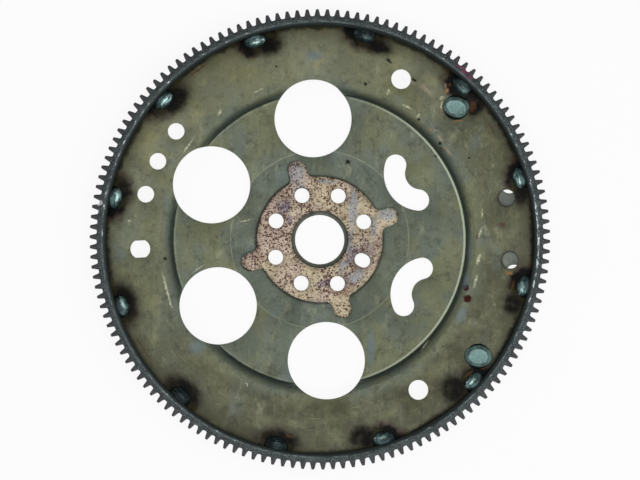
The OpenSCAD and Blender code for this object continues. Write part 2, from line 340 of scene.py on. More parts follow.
# painted shade: the pan's steep wall is painted dark, with a teal tint of oxide
wall_start = sheet.fade(sheet.radius, PAN_R + 0.1, PAN_R + 0.8)
wall = sheet.both(wall_start, sheet.fade(sheet.radius, CROWN_R - 2.5, PAN_R + 1.2), 0.8)
colour = sheet.mix(wall, colour, wall_shade_tone)
# painted shade on the crown beside the wall, most towards the bottom and the top
crown_shade = sheet.both(wall_start, sheet.fade(sheet.radius, CROWN_R + 3, PAN_R + 3.5))
low_crown = sheet.fade(sheet.toward(255), -40, 70, 0.0, 0.4)
upper_crown = sheet.fade(sheet.toward(95), 55, 90, 0.0, 0.22)
crown_shade = sheet.both(crown_shade, sheet.either(low_crown, upper_crown))
colour = sheet.mix(crown_shade, colour, wall_shade_tone)
colour = sheet.mix(rubbed, colour, corner_rub_and_highlight)

# soot and painted shade darken the corner under the ring, and each stitch weld stands in a black scorch
torn = sheet.noise(sheet.place, 7.0, detail=5.0, roughness=0.6)
torn_push = sheet.math("SUBTRACT", torn, 0.5)
ragged_radius = sheet.math("MULTIPLY_ADD", torn_push, 7.0, sheet.radius)
colour = sheet.mix(sheet.fade(ragged_radius, RIM_R - 12.8, RIM_R - 1.8, high=0.5), colour, burn_brown)
# the painted shade in the corner is weaker at the lower left
ring_shadow_reach = sheet.fade(sheet.toward(240), 95, 140, 1.0, 0.45)
corner_soot_and_shade = sheet.both(sheet.fade(ragged_radius, RIM_R - 3.8, RIM_R - 0.6, high=0.8), ring_shadow_reach)
colour = sheet.mix(corner_soot_and_shade, colour, burn_black)
round_bead = sheet.math("MULTIPLY_ADD", torn_push, 0.9, sheet.from_weld(0.6, 1.0, 13.4, 11.0))
colour = sheet.mix(sheet.fade(round_bead, 1.6, 0.95, high=0.8), colour, burn_brown)
colour = sheet.mix(sheet.fade(round_bead, 1.35, 1.0, high=0.75), colour, burn_red)
bead_soot = sheet.fade(round_bead, 1.18, 0.84, high=0.97)
colour = sheet.mix(bead_soot, colour, burn_black)

# the black blotch beside each weld, counted from the right: how far its middle lies clockwise
# of the bead and in from the ring, half its length and half its width, and how faint it is
scorches = [
    (12.0, 5.0, 10.0, 6.4, 0.25),
    (16.0, 7.0, 8.0, 7.5, 0.2),
    (10.5, 8.0, 10.8, 5.6, 0.2),
    (7.0, 8.8, 8.4, 6.2, 0.1),
    (3.0, 8.4, 11.4, 7.6, 0.05),
    (4.0, 8.2, 8.6, 6.8, 0.2),
    (-0.5, 6.0, 13.0, 8.2, 0.1),
    (-1.5, 6.4, 13.4, 8.2, 0.05),
    (-2.7, 6.4, 14.4, 7.0, 0.1),
    (13.0, 7.4, 9.2, 8.6, 0.1),
    (13.2, 8.4, 10.2, 9.6, 0.05),
    (14.6, 7.2, 10.0, 8.0, 0.25),
]
torn_place = sheet.ragged(4.0, 5.0)
blotch_distances = []
for number, (clockwise, inset, half_length, half_width, faint) in enumerate(scorches):
    out = RIM_R - inset
    turn = FIRST_WELD + number * WELD_STEP - clockwise / out
    middle = out * math.cos(turn), out * math.sin(turn)
    distance = sheet.from_spot(torn_place, middle, half_length, half_width, math.degrees(turn) + 90)
    blotch_distances.append(sheet.math("ADD", distance, faint))
blotch = sheet.nearest(*blotch_distances)
colour = sheet.mix(sheet.fade(blotch, 1.9, 0.8, high=0.8), colour, burn_brown)
blotch_soot = sheet.both(sheet.fade(blotch, 1.35, 0.6), sheet.fade(blotches, 0.3, 0.55, 0.65, 0.95))
colour = sheet.mix(blotch_soot, colour, burn_black)

# single marks, each at the pixel of the photograph that shows it
ragged = sheet.ragged(1.8, 2.2)
plug_scorches = {
    "round the upper plug": ((455, 107.5), 9.3, 8.9, -10),
    "right of the upper plug": ((475, 100), 9.0, 7.0, -50),
    "round the lower plug": ((478, 356.2), 9.4, 9.0, -5),
    "below the lower plug": ((484, 371), 8.0, 4.5, 40),
}
colour = sheet.daub(colour, ragged, plug_scorches, burn_black, soft=0.3, cover=0.85)
brown_rust = {
    "above the upper plug": ((450, 84), 1.8, 1.4, 40),
    "patch on the upper plug": ((472.5, 106), 5.4, 3.8, 70),
    "between lower plug and bead": ((469, 374), 5.0, 1.1, 42),
    "between the gauge holes": ((502, 224.5), 3.6, 2.4, 0),
    "along the crown": ((441, 148), 2.6, 1.0, -50),
    "near the first bead": ((492, 128), 7.0, 0.9, -62),
    "small pair": ((477, 236), 2.6, 1.4, 70),
    "below the lower plug, right": ((484, 368), 4.0, 1.0, 10),
    "streak by the right bead": ((513, 285), 5.0, 1.2, 75),
    "right of the bottom bead": ((289, 436), 3.4, 1.4, -25),
    "in the corner, lower left": ((143, 349), 14.0, 0.8, -57),
    "in the corner, upper left": ((197, 70), 12.0, 1.2, 38),
}
patchy = sheet.fade(specks, 0.3, 0.5, 0.5, 0.95)
colour = sheet.daub(colour, ragged, brown_rust, rust_brown, soft=0.7, cover=patchy)
orange_rust = {
    "left of the upper plug": ((447, 90), 2.6, 1.6, 60),
    "below the upper plug": ((458, 120.2), 5.2, 0.9, 6),
    "on the crown": ((430.5, 129.5), 1.8, 1.0, 20),
    "below the lower gauge hole": ((509, 273), 3.6, 1.6, 5),
}
colour = sheet.daub(colour, ragged, orange_rust, rust_orange, soft=0.7, cover=patchy)
red_rust = {
    "upper of two spots": ((466, 287.5), 2.3, 2.8, 20),
    "lower of two spots": ((467.5, 298.5), 3.2, 3.6, -30),
}
red_share = sheet.marked(ragged, red_rust, soft=0.4)
colour = sheet.mix(red_share, colour, rust_maroon)
dark_marks = {
    "inside the top hole": ((348, 161), 2.6, 2.4, 0),
    "right of the top hole": ((365, 83), 1.8, 1.6, 0),
    "below the third bead": ((389, 60), 3.6, 1.6, -40),
    "at the converter hole": ((414, 79), 2.6, 1.4, -35),
    "on the crown, upper": ((440, 143), 1.6, 1.4, 0),
    "on the wall": ((419, 119), 1.4, 1.2, 0),
    "on the crown, lower": ((436, 155), 1.2, 1.0, 0),
    "on the rim": ((469, 157), 1.4, 0.9, 0),
    "left of the top hole": ((276, 66), 1.4, 1.2, 0),
    "at the flatted hole": ((164.5, 258.5), 1.6, 1.4, 0),
}
dark_share = sheet.marked(ragged, dark_marks, soft=0.7)
colour = sheet.mix(sheet.both(dark_share, 0.95), colour, soot_black)
gauge_edges = {
    "upper gauge hole": ((506.4, 197.6), 6.6, 6.6, 0),
    "lower gauge hole": ((509.6, 259.6), 6.6, 6.6, 0),
}
colour = sheet.daub(colour, sheet.place, gauge_edges, near_black_olive, soft=0.08, cover=0.7)
pale_marks = {
    "right of the top hole": ((388, 91), 3.0, 1.4, 75),
    "on the crown": ((407, 106), 5.0, 1.2, -28),
    "lower on the crown": ((418, 115), 2.4, 1.0, 60),
    "left of the upper plug": ((442, 97), 2.4, 1.6, 40),
    "round the upper plug": ((441.6, 105), 4.0, 0.8, 84),
    "right side, upper": ((482, 213), 4.4, 0.9, 85),
    "right side, below it": ((480.5, 232), 4.6, 1.2, 70),
    "right side, middle": ((478.5, 259), 5.4, 1.6, 75),
    "right side, lower": ((475.5, 281), 7.0, 1.3, 75),
    "left side, long": ((166, 288), 14.0, 1.1, -74),
    "left side, lower": ((170, 303), 6.0, 1.0, -70),
    "upper left": ((188, 145), 8.5, 1.0, 55),
    "on the upper left crown": ((219, 112), 3.0, 1.4, 60),
    "top left": ((258, 90), 5.0, 0.7, 25),
    "by the flatted hole": ((129, 221), 2.0, 1.2, 0),
    "floor, right": ((425, 345), 6.0, 0.8, 55),
    "floor, left": ((198, 268), 8.0, 0.5, 35),
    "floor, left of the hub": ((246, 220), 8.0, 0.4, 18),
    "lower left crown": ((246, 384), 2.4, 0.7, -60),
}
tan_streaks = {
    "by the converter hole": ((426.5, 89), 10.0, 2.6, -44),
    "above the upper plug": ((445.5, 85), 2.4, 1.4, 80),
    "on the crown": ((435, 129.5), 2.2, 1.2, 0),
    "below it": ((440, 138), 5.0, 1.6, -55),
    "by the crown": ((447.5, 150), 6.0, 1.6, -50),
}
colour = sheet.daub(colour, ragged, tan_streaks, scale_tan, soft=0.9, cover=0.6)
broken = sheet.fade(specks, 0.4, 0.6, 0.3, 0.85)
colour = sheet.daub(colour, ragged, pale_marks, scratch_pale, soft=0.8, cover=broken)
blue_marks = {
    "below the red spots": ((461, 314), 9.0, 4.4, 62),
    "beside the red spots": ((466, 280), 9.0, 2.6, 80),
    "right crown": ((470, 250), 18.0, 2.2, 88),
    "lower left rim": ((196, 347), 8.0, 8.0, 0),
    "top rim": ((313, 55), 9.0, 5.0, 0),
    "floor, right of the bottom opening": ((371, 348), 20.0, 4.0, 90),
}
colour = sheet.daub(colour, ragged, blue_marks, stain_blue, soft=0.9, cover=0.75)

soot = sheet.either(corner_soot_and_shade, bead_soot, blotch_soot, red_share, dark_share)
gloss = sheet.math("SUBTRACT", blotches, sheet.both(rubbed, 0.3))
fine_grain = sheet.noise(sheet.drawn_out(90, 1.2, 0.6), 0.8, detail=3.0)
sheet.look(Base_Color=colour, Roughness=sheet.fade(gloss, 0.2, 0.8, 0.42, 0.58))
sheet.look(Specular_IOR_Level=sheet.fade(sheet.either(soot, wall), 0.0, 1.0, 0.5, 0.08))
sheet.bump(sheet.math("ADD", fine_grain, rolling), depth=0.03, strength=0.4)


SAME_POINT = 0.002
SHARP_EDGE = math.radians(40)


def rounded_copy(node, name, finish, edge):
    """A welded copy of a solid with its sharp edges rounded, which stands for the solid."""
    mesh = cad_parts[node].data.copy()
    mesh.name = name
    shape = bmesh.new()
    shape.from_mesh(mesh)
    bmesh.ops.remove_doubles(shape, verts=shape.verts, dist=SAME_POINT * MM)
    for face in shape.faces:
        face.smooth = True
    shape.to_mesh(mesh)
    shape.free()
    mesh.materials.clear()
    mesh.materials.append(finish.material)
    piece = bpy.data.objects.new(name, mesh)
    bpy.context.collection.objects.link(piece)
    rounding = piece.modifiers.new("rounded edges", "BEVEL")
    rounding.width = edge * MM
    rounding.segments = 2
    rounding.limit_method = "ANGLE"
    rounding.angle_limit = SHARP_EDGE
    rounding.harden_normals = True
    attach(piece, "root")
    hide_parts(node)
    return piece


# the ring is shrunk onto the rim, so the rim swells a little until no light shows between them
SHRINK = 0.1
disc = rounded_copy("disc", "pressed_disc", sheet, edge=0.3)
for vert in disc.data.vertices:
    if vert.co.xy.length > (RIM_R - SHRINK) * MM:
        vert.co.xy = vert.co.xy.normalized() * (RIM_R + SHRINK) * MM


# The hub plate is a stamped washer with four ears that spreads the load of the crank bolts.
# It is plain steel without scale, tan with surface rust, and covered in dark pits and blued streaks.
hub_tan = tone(194, 182, 150)
hub_pink = tone(194, 174, 158)
hub_pale = tone(204, 192, 160)
pit_brown = tone(72, 38, 32)
edge_shade_brown = tone(38, 34, 26)
hub_maroon = tone(112, 68, 56)
hub_mauve = tone(122, 110, 112)
pit_halo = tone(150, 104, 88)
heat_blue = tone(100, 102, 126)
heat_lavender = tone(146, 154, 160)
highlight_and_fleck_tone = tone(190, 204, 198)

hub = Finish("rusted_plate_steel", metallic=0.2)
warm = hub.noise(hub.place, 12.0, detail=4.0)
left_side = hub.fade(hub.toward(172), -26, 32, -0.1, 0.12)
hub_colour = hub.mix(hub.fade(hub.math("ADD", warm, left_side), 0.42, 0.68), hub_tan, hub_pink)
hub_ragged = hub.ragged(1.6, 3.0)
mauve_fields = {
    "right of the bore": ((364, 256), 20.0, 11.0, 66),
    "lower right": ((348, 279), 14.0, 9.0, 25),
    "left, above the bolt hole": ((283, 205), 9.0, 8.0, 60),
}
hub_colour = hub.daub(hub_colour, hub_ragged, mauve_fields, hub_mauve, soft=0.7, cover=0.8)
grey_streaks = {
    "right of the bore": ((353, 206), 19.0, 4.4, 88),
    "right of the bore, lower": ((350, 240), 12.0, 3.0, 80),
    "below the right ear": ((374, 226), 10.0, 3.0, 86),
    "below the bore, right": ((343, 266), 8.0, 3.0, 55),
    "upper ear": ((296, 173), 10.0, 7.5, 80),
    "below the upper ear": ((299, 190), 8.0, 5.0, 70),
    "right ear": ((387, 214), 8.0, 5.5, -4),
    "lower right": ((357, 276), 7.0, 5.0, 30),
    "along the top": ((327, 181), 9.0, 1.8, -4),
}
greyed = hub.marked(hub_ragged, grey_streaks, soft=0.55)
hub_colour = hub.mix(hub.both(greyed, 0.85), hub_colour, heat_lavender)
blue_streaks = {
    "upper left": ((285, 207), 6.0, 4.6, 60),
    "left of the bore": ((289, 219), 5.0, 2.8, 80),
    "right of the bore": ((352, 254), 10.0, 4.4, 68),
    "bottom": ((325, 283), 9.0, 4.0, 20),
}
hub_colour = hub.daub(hub_colour, hub_ragged, blue_streaks, heat_blue, soft=0.75, cover=0.8)
# a painted highlight on top of the right ear, and a pale fleck below the bore
highlight_and_fleck = {
    "painted highlight on the right ear's top": ((386, 209.8), 6.4, 2.2, -4),
    "fleck below the bore": ((342, 262), 2.0, 1.0, 60),
}
hub_colour = hub.daub(hub_colour, hub_ragged, highlight_and_fleck, highlight_and_fleck_tone, soft=0.7, cover=0.8)
reds = {
    "right edge": ((380, 262), 9.0, 4.0, 72),
    "right, above the index hole": ((376, 245), 7.0, 3.0, 80),
    "by the right bolt hole": ((345, 216), 4.0, 3.0, 60),
    "lower ear's root": ((345, 292), 9.0, 5.0, 20),
    "left ear's root": ((258, 258), 6.0, 3.0, 20),
    "top, right": ((331, 186), 5.0, 2.0, -20),
}
hub_colour = hub.daub(hub_colour, hub_ragged, reds, hub_maroon, soft=0.9, cover=0.6)
small_rust = hub.noise(hub.place, 1.4, detail=4.0, roughness=0.65)
hub_colour = hub.mix(hub.fade(small_rust, 0.54, 0.63, high=0.65), hub_colour, hub_maroon)
hub_colour = hub.mix(hub.fade(small_rust, 0.46, 0.36, high=0.6), hub_colour, hub_pale)

# rust pits: dots of many sizes, crowded on the left and sparse at the top right
pit_crowd = hub.math("MULTIPLY_ADD", left_side, 0.5, hub.noise(hub.place, 9.0, detail=4.0))
pit_crowd = hub.math("MULTIPLY_ADD", greyed, -0.14, pit_crowd)
pit_crowd = hub.math("SUBTRACT", pit_crowd, hub.fade(hub.toward(215), 10, 34, 0.0, 0.06))
pits = 0.0
halos = 0.0
for pit_spacing, pit_share in ((1.1, 0.5), (1.7, 0.46)):
    cells = hub.nodes.new("ShaderNodeTexVoronoi")
    hub.set(cells.inputs["Vector"], hub.ragged(0.9, 0.9))
    cells.inputs["Scale"].default_value = 1 / pit_spacing
    cell_chance = hub.nodes.new("ShaderNodeSeparateColor")
    hub.set(cell_chance.inputs[0], cells.outputs["Color"])
    crowding = hub.fade(pit_crowd, 0.3, 0.64, 0.3, pit_share + 0.14)
    pit_size = hub.math("MULTIPLY", cell_chance.outputs[0], crowding)
    from_pit = hub.math("SUBTRACT", cells.outputs["Distance"], pit_size)
    pits = hub.either(pits, hub.fade(from_pit, 0.08, -0.08))
    halos = hub.either(halos, hub.fade(from_pit, 0.25, 0.0, high=0.3))
hub_colour = hub.mix(halos, hub_colour, pit_halo)
hub_colour = hub.mix(hub.both(pits, 0.85), hub_colour, pit_brown)

# painted shade darkens every edge of the plate, where its face turns down
face_up = hub.parted(hub.nodes.new("ShaderNodeNewGeometry").outputs["Normal"])[2]
edge_shade = hub.fade(face_up, 0.999, 0.94, high=0.95)
hub_colour = hub.mix(edge_shade, hub_colour, edge_shade_brown)
hub.look(Base_Color=hub_colour, Roughness=hub.fade(pits, 0.0, 1.0, 0.48, 0.75))
hub.look(Specular_IOR_Level=hub.fade(edge_shade, 0.0, 1.0, 0.5, 0.1))
hub.bump(hub.math("SUBTRACT", 1.0, pits), depth=0.1)

hub_plate = rounded_copy("hub_plate", "crank_hub_plate", hub, edge=0.95)


# The balance weight is an arc of steel plate, cut to the rim's curve, behind the disc on one side.
# Two plug welds hold it. It has a grey scale like the sheet's, and some rust.
weight_grey = tone(104, 111, 104)
weight_pale = tone(118, 124, 114)
weight_rust_brown = tone(104, 76, 56)
weight = Finish("plain_plate_steel", metallic=0.3)
weight_clouds = weight.noise(weight.place, 9.0, detail=5.0)
weight_colour = weight.mix(weight.fade(weight_clouds, 0.35, 0.65), weight_grey, weight_pale)
weight_rust = weight.noise(weight.place, 4.0, detail=5.0, roughness=0.7)
weight_rusted = weight.fade(weight_rust, 0.58, 0.74, high=0.6)
weight_colour = weight.mix(weight_rusted, weight_colour, weight_rust_brown)
weight.look(Base_Color=weight_colour, Roughness=weight.fade(weight_rust, 0.4, 0.7, 0.5, 0.75))
weight.bump(weight.noise(weight.drawn_out(90, 2.0, 0.5), 0.8), depth=0.04)

balance_weight = rounded_copy("balance_weight", "balance_weight_strip", weight, edge=0.4)


# The ring gear is a bar of steel rolled into a ring, butt welded, toothed by hobbing and hardened.
# Its dark scale is rubbed pale along the round inner edge, and it carries a dab of marking paint.
RING_GAP = 0.05
TOOTH_DEPTH = 4.57
RING_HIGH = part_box("ring_gear")[1]
RING_FRONT = RING_HIGH.z / MM
TIP_R = RING_HIGH.x / MM
RING_BORE = RIM_R + RING_GAP
ROOT_R = TIP_R - TOOTH_DEPTH
ring_dark = tone(38, 45, 46)
ring_grey = tone(56, 64, 65)
ring_bare = tone(206, 212, 212)
ring_fleck = tone(118, 131, 131)
ring_soot_and_shade = tone(52, 60, 59)
ring_rust = tone(58, 48, 44)
tooth_grey = tone(58, 58, 62)
paint_pink = tone(140, 34, 80)

gear = Finish("hardened_ring_steel", metallic=0.45)
gear_clouds = gear.noise(gear.place, 6.0, detail=6.0, roughness=0.65)
gear_colour = gear.mix(gear.fade(gear_clouds, 0.38, 0.62), ring_dark, ring_grey)
gear_rust = gear.noise(gear.place, 5.0, detail=5.0)
gear_colour = gear.mix(gear.fade(gear_rust, 0.58, 0.72, high=0.5), gear_colour, ring_rust)
nicks = gear.noise(gear.place, 0.9, detail=4.0, roughness=0.6)
gear_colour = gear.mix(gear.fade(nicks, 0.54, 0.68, high=0.75), gear_colour, ring_fleck)
gear_colour = gear.mix(gear.fade(nicks, 0.46, 0.32, high=0.7), gear_colour, ring_soot_and_shade)
tooth_part = gear.fade(gear.radius, ROOT_R - 0.6, ROOT_R + 1.0, high=0.75)
gear_colour = gear.mix(tooth_part, gear_colour, tooth_grey)

# soot and painted shade darken the bore and its round edge. Past them the front is rubbed bare, most on
# the right
bore_soot_and_shade = gear.fade(gear.radius, RING_BORE + 2.4, RING_BORE + 1.3, high=0.92)
gear_colour = gear.mix(bore_soot_and_shade, gear_colour, ring_soot_and_shade)
along_ring = gear.point(gear.radius, gear.math("MULTIPLY", gear.angle, 55.0), gear.z)
worn = gear.noise(along_ring, 1.6, detail=5.0, roughness=0.6)
front = gear.fade(gear.z, RING_FRONT - 1.3, RING_FRONT - 0.6)
edge_line = gear.both(gear.band(gear.radius, RING_BORE + 2.6, 0.3, 0.6), front)
edge_rub = gear.both(edge_line, gear.fade(worn, 0.42, 0.62, 0.0, 0.5))
gear_colour = gear.mix(edge_rub, gear_colour, ring_fleck)
on_right = gear.fade(gear.toward(3), 115, 143)
on_left = gear.both(gear.fade(gear.toward(150), 100, 145), 0.5)
scuff_limit = gear.math("MULTIPLY_ADD", gear.either(on_right, on_left), -0.12, 0.66)
scuffs = gear.both(edge_line, gear.fade(gear.math("SUBTRACT", worn, scuff_limit), 0.0, 0.05))
gear_colour = gear.mix(scuffs, gear_colour, ring_bare)
gear_ragged = gear.ragged(1.4, 3.0)
paint_dabs = {
    "middle": ((465, 71), 3.8, 2.6, -40),
    "lower": ((470, 77), 3.0, 1.8, -48),
    "upper": ((459, 66), 2.8, 1.6, -40),
}
thin_paint = gear.fade(nicks, 0.4, 0.6, 0.25, 0.95)
gear_colour = gear.daub(gear_colour, gear_ragged, paint_dabs, paint_pink, soft=0.9, cover=thin_paint)
bare_marks = {
    "left, long": ((102, 204), 4.6, 0.9, -55),
    "left, short": ((99, 205), 2.6, 0.8, 20),
    "left, upper": ((105, 195), 3.0, 0.8, 70),
    "right": ((538, 236), 8.0, 0.8, 92),
    "right, lower": ((537.5, 262), 5.0, 0.8, 85),
    "right, upper": ((536, 207), 5.0, 0.8, 105),
}
scuffed = gear.both(gear.fade(worn, 0.4, 0.52), front)
gear_colour = gear.daub(gear_colour, gear_ragged, bare_marks, ring_bare, soft=0.8, cover=scuffed)
gear.look(Base_Color=gear_colour, Roughness=gear.fade(worn, 0.3, 0.7, 0.42, 0.6))
gear.look(Specular_IOR_Level=gear.fade(bore_soot_and_shade, 0.0, 1.0, 0.5, 0.1))
gear.bump(gear.math("ADD", nicks, gear_clouds), depth=0.08, strength=0.6)

ring_gear = rounded_copy("ring_gear", "starter_ring_gear", gear, edge=0.15)


# Two plug welds fill round holes in the rim and hold the balance weight behind it.
# The metal has frozen as an oval button with a flat, raised middle inside a scorched groove.
button_teal = tone(92, 128, 124)
button_pale = tone(136, 166, 162)
button_skirt = tone(54, 70, 66)
groove_shade_black = tone(26, 30, 26)
PLUG_R = 8.35
GROOVE_DEPTH = 1.4
GROOVE_WIDTH = 0.5
GROOVE = RIM_FACE - GROOVE_DEPTH
BUTTON_SQUEEZE = 0.82
FLAT_SQUEEZE = 0.72
FLAT_HALF = 6.4
FLAT_DISH = 0.25
BUTTON_RIPPLE = 0.2
plug_welds = {
    "upper": {"turn": -10, "half": 8.5, "unevenness": 0.16},
    "lower": {"turn": -6, "half": 9.2, "unevenness": 0.1},
}

plug = Finish("plug_weld_metal", metallic=0.4)
plug_clouds = plug.noise(plug.place, 3.4, detail=4.0)
plug_colour = plug.mix(plug.fade(plug_clouds, 0.35, 0.65, 0.0, 0.6), button_skirt, button_teal)
plug_ragged = plug.ragged(3.4, 2.6)
on_buttons = []
for side, pool in plug_welds.items():
    low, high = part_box(f"plug_weld_{side}")
    middle = ((low + high) / 2 / MM).xy
    flat_oval = FLAT_HALF, FLAT_HALF * FLAT_SQUEEZE, pool["turn"]
    on_buttons.append(plug.from_spot(plug_ragged, middle, *flat_oval))
on_button = plug.nearest(*on_buttons)
plug_flecks = plug.noise(plug.place, 1.3, detail=3.0)
pale_edge = plug.both(plug.fade(on_button, 1.06, 0.92), plug.fade(plug_flecks, 0.36, 0.6, 0.2, 0.9))
plug_colour = plug.mix(pale_edge, plug_colour, button_pale)
plug_colour = plug.mix(plug.fade(on_button, 0.9, 0.7, high=0.5), plug_colour, button_teal)
plug_colour = plug.mix(plug.fade(plug_flecks, 0.6, 0.72, high=0.4), plug_colour, button_skirt)
# the groove and the button's foot are painted black: scorch, and painted shade in the groove
groove_shade_and_scorch = plug.fade(plug.z, RIM_FACE + 0.45, RIM_FACE + 0.1, high=0.95)
plug_colour = plug.mix(groove_shade_and_scorch, plug_colour, groove_shade_black)
plug.look(Base_Color=plug_colour, Roughness=plug.fade(plug_flecks, 0.3, 0.7, 0.36, 0.52))
plug.look(Specular_IOR_Level=plug.fade(groove_shade_and_scorch, 0.0, 1.0, 0.5, 0.1))
plug.bump(plug.noise(plug.place, 1.8, detail=3.0), depth=0.06)

for side, pool in plug_welds.items():
    low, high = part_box(f"plug_weld_{side}")
    middle = (low + high) / 2 / MM
    base, crest = low.z / MM, high.z / MM
    foot = pool["half"]
    profile = [
        (0.0, base), (PLUG_R, base), (PLUG_R, GROOVE), (PLUG_R - GROOVE_WIDTH, GROOVE),
        (PLUG_R - 0.3, RIM_FACE - 0.5), (foot - 0.3, RIM_FACE + 0.05), (foot, RIM_FACE + 0.2),
        (foot - 0.4, RIM_FACE + 0.5), (foot - 1.2, RIM_FACE + 0.75),
        (FLAT_HALF + 0.4, crest - 0.2), (FLAT_HALF, crest), (FLAT_HALF - 0.6, crest - 0.12),
        (FLAT_HALF / 2, crest - FLAT_DISH), (0.0, crest - FLAT_DISH),
    ]
    shape = bmesh.new()
    points = [shape.verts.new((r, 0.0, z)) for r, z in profile]
    edges = [shape.edges.new(pair) for pair in zip(points, points[1:])]
    bmesh.ops.spin(shape, geom=points + edges, cent=(0, 0, 0), axis=(0, 0, 1), angle=math.tau, steps=64,
                   use_merge=True, use_duplicate=False)
    bmesh.ops.remove_doubles(shape, verts=shape.verts, dist=0.001)
    bmesh.ops.recalc_face_normals(shape, faces=shape.faces)
    button_verts = [vert for vert in shape.verts if vert.co.z > GROOVE + 0.1]
    for vert in button_verts:
        lump = 1.0 + pool["unevenness"] * noise.noise(vert.co * 0.14 + middle)
        squeeze = FLAT_SQUEEZE if vert.co.xy.length < FLAT_HALF + 0.5 else BUTTON_SQUEEZE
        ripple = BUTTON_RIPPLE * noise.noise(vert.co * 0.4 + middle)
        top = min(vert.co.z + ripple, crest)
        vert.co = Vector((vert.co.x * lump, vert.co.y * lump * squeeze, top))
    turned = Matrix.Rotation(math.radians(pool["turn"]), 4, "Z")
    place = Matrix.Scale(MM, 4) @ Matrix.Translation((middle.x, middle.y, 0.0)) @ turned
    bmesh.ops.transform(shape, matrix=place, verts=shape.verts)
    for face in shape.faces:
        face.smooth = True
    mesh = bpy.data.meshes.new(f"{side}_plug_weld")
    shape.to_mesh(mesh)
    shape.free()
    mesh.materials.append(plug.material)
    button = bpy.data.objects.new(mesh.name, mesh)
    bpy.context.collection.objects.link(button)
    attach(button, "root")
    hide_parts(f"plug_weld_{side}")


# Twelve short stitch welds join the ring gear to the disc in the corner between them.
# Each is a smooth bead of blued weld metal, with a glint painted at its clockwise end, where its arc
# stopped.
bead_teal = tone(66, 92, 92)
bead_blue = tone(38, 54, 58)
bead_painted_glint = tone(160, 192, 186)
bead_black = tone(16, 22, 23)
BEAD_HALF = 7.7
BEAD_REACH = 8.2
BEAD_INSET = 1.8
BEAD_H = 3.0
BEAD_ROOT = 0.5
POOL_HEIGHT = 0.012
SWELL = 0.07
CRATER_SLOPE = 0.12
bead_cuts = [((0.0, 0.0, RIM_FACE), (0, 0, -1)), ((RING_BORE + BEAD_ROOT, 0.0, 0.0), (1, 0, 0))]


def weld_turn(number):
    """The angle of a stitch weld. They sit a little low on the rim, against an even spacing."""
    turn = FIRST_WELD + number * WELD_STEP
    return turn - (WELD_SINK * math.cos(turn) - WELD_LAG) / RIM_R


beads = Finish("stitch_weld_metal", metallic=0.6)
bead_clouds = beads.noise(beads.place, 4.0, detail=3.0)
bead_colour = beads.mix(beads.fade(bead_clouds, 0.38, 0.6), bead_blue, bead_teal)
bead_flecks = beads.noise(beads.place, 1.5, detail=4.0, roughness=0.6)
bead_push = beads.math("MULTIPLY", beads.math("SUBTRACT", bead_flecks, 0.5), 1.8)
# a painted glint on each bead, at its clockwise end
glint = beads.math("ADD", beads.from_weld(1.8, 4.6, 5.6, 1.9), bead_push)
# painted shade: the beads at the lower left and at the top are painted darker, with a weaker glint
shaded_low = beads.fade(beads.toward(243), 80, 140)
shaded_top = beads.fade(beads.toward(68), 104, 150)
shaded_side = beads.either(shaded_low, shaded_top)
unshaded = beads.math("SUBTRACT", 1.0, beads.both(shaded_side, 0.8))
glint_share = beads.both(beads.fade(glint, 1.15, 0.2), unshaded)
bead_colour = beads.mix(glint_share, bead_colour, bead_painted_glint)
along_bead = beads.point(beads.radius, beads.math("MULTIPLY", beads.angle, 26.0), beads.z)
streaks = beads.noise(along_bead, 1.1, detail=3.0)
bead_colour = beads.mix(beads.fade(streaks, 0.5, 0.62, high=0.75), bead_colour, bead_black)
# painted shade darkens each bead round its edge, where it meets the disc and the ring
bead_rim = beads.math("ADD", beads.from_weld(0.0, 4.1, 7.8, 4.3), beads.both(bead_push, 0.2))
bead_edge_shade = beads.fade(bead_rim, 0.74, 1.02, high=0.95)
side_shade = beads.both(shaded_side, beads.fade(streaks, 0.34, 0.5, 0.68, 0.95))
soot_and_shade_share = beads.either(bead_edge_shade, side_shade)
bead_colour = beads.mix(soot_and_shade_share, bead_colour, bead_black)
beads.look(Base_Color=bead_colour, Roughness=beads.fade(glint, 0.2, 1.2, 0.2, 0.36))
beads.look(Specular_IOR_Level=beads.fade(soot_and_shade_share, 0.0, 1.0, 0.5, 0.15))
beads.bump(beads.noise(beads.place, 1.6, detail=2.0), depth=0.05)

for number in range(WELD_COUNT):
    turn = weld_turn(number)
    seed = Vector((number * 7.3, number * 3.1, 0.0))
    shape = bmesh.new()
    bmesh.ops.create_icosphere(shape, subdivisions=5, radius=1.0)
    for vert in shape.verts:
        pools = POOL_HEIGHT * math.cos(vert.co.y * 9.0 + vert.co.x * 1.6 + number)
        swell = 1.0 + pools + SWELL * noise.noise(vert.co * 0.9 + seed)
        crater = 1.0 - CRATER_SLOPE * vert.co.y
        vert.co.x *= swell * crater * (BEAD_REACH - BEAD_INSET)
        vert.co.y *= swell * BEAD_HALF
        vert.co.z *= swell * crater * BEAD_H
        vert.co += Vector((RING_BORE - BEAD_INSET, 0.0, RIM_FACE))
    for cut, facing in bead_cuts:
        everything = shape.verts[:] + shape.edges[:] + shape.faces[:]
        sliced = bmesh.ops.bisect_plane(shape, geom=everything, plane_co=cut, plane_no=facing,
                                        clear_outer=True)
        rim_edges = [part for part in sliced["geom_cut"] if isinstance(part, bmesh.types.BMEdge)]
        bmesh.ops.holes_fill(shape, edges=rim_edges, sides=0)
    for face in shape.faces:
        face.smooth = True
    place = Matrix.Scale(MM, 4) @ Matrix.Rotation(turn, 4, "Z")
    bmesh.ops.transform(shape, matrix=place, verts=shape.verts)
    mesh = bpy.data.meshes.new(f"stitch_weld_{number + 1:02d}")
    shape.to_mesh(mesh)
    shape.free()
    mesh.materials.append(beads.material)
    bead = bpy.data.objects.new(mesh.name, mesh)
    bpy.context.collection.objects.link(bead)
    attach(bead, "root")
    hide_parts(f"ring_weld_{number + 1:02d}")


